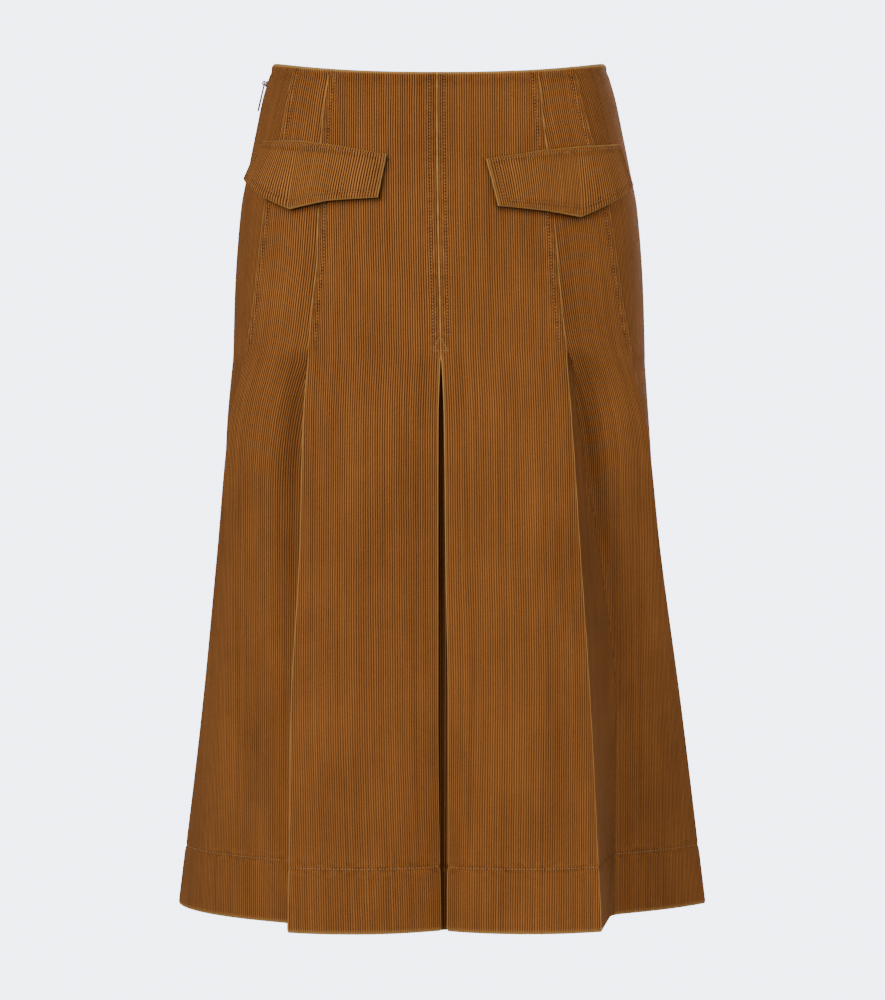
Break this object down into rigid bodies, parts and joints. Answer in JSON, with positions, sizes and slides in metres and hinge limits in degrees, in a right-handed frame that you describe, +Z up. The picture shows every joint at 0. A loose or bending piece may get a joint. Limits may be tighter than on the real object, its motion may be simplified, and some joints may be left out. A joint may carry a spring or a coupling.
{
  "type": "pleated midi skirt in corduroy, filled out as worn, with no wearer and no stand",
  "caption": "A tan brown corduroy midi skirt, smooth over the hips and released below them into a centre inverted pleat and side pleats, with a pointed flap on each hip.",
  "frame": {"origin": "centre of the waist opening, at the height of its sides", "axes": "+Z up, the front faces -Y, the wearer's right is at -X"},
  "size_m": [0.4412, 0.3568, 0.699],
  "materials": {
    "corduroy": "soft ribbed pile, matte, wales along the grain",
    "underlay": "the same corduroy, shaded inside the pleat",
    "tape": "woven matte tape",
    "zip_metal": "dull antique brass"
  },
  "bodies": {
    "garment": {"front_right": "corduroy", "front_left": "corduroy", "back_right": "corduroy", "back_left": "corduroy", "side_front_right": "corduroy", "side_front_left": "corduroy", "side_back_right": "corduroy", "side_back_left": "corduroy", "side_fore_right": "corduroy", "side_fore_left": "corduroy", "side_aft_right": "corduroy", "side_aft_left": "corduroy", "front_underlay": "underlay", "back_underlay": "underlay", "flap_right": "corduroy", "flap_left": "corduroy", "zip_tape_fore": "tape", "zip_tape_aft": "tape", "zip_chain": "zip_metal", "zip_slider": "zip_metal"},
    "pull": {"zip_pull": "zip_metal"}
  },
  "joints": [
    {"name": "pull_hinge", "type": "hinge", "parent": "garment", "child": "pull", "pos_m": [-0.14517, 0, -0.01471], "axis": [0, 1, 0], "range_deg": [0, 140]}
  ]
}
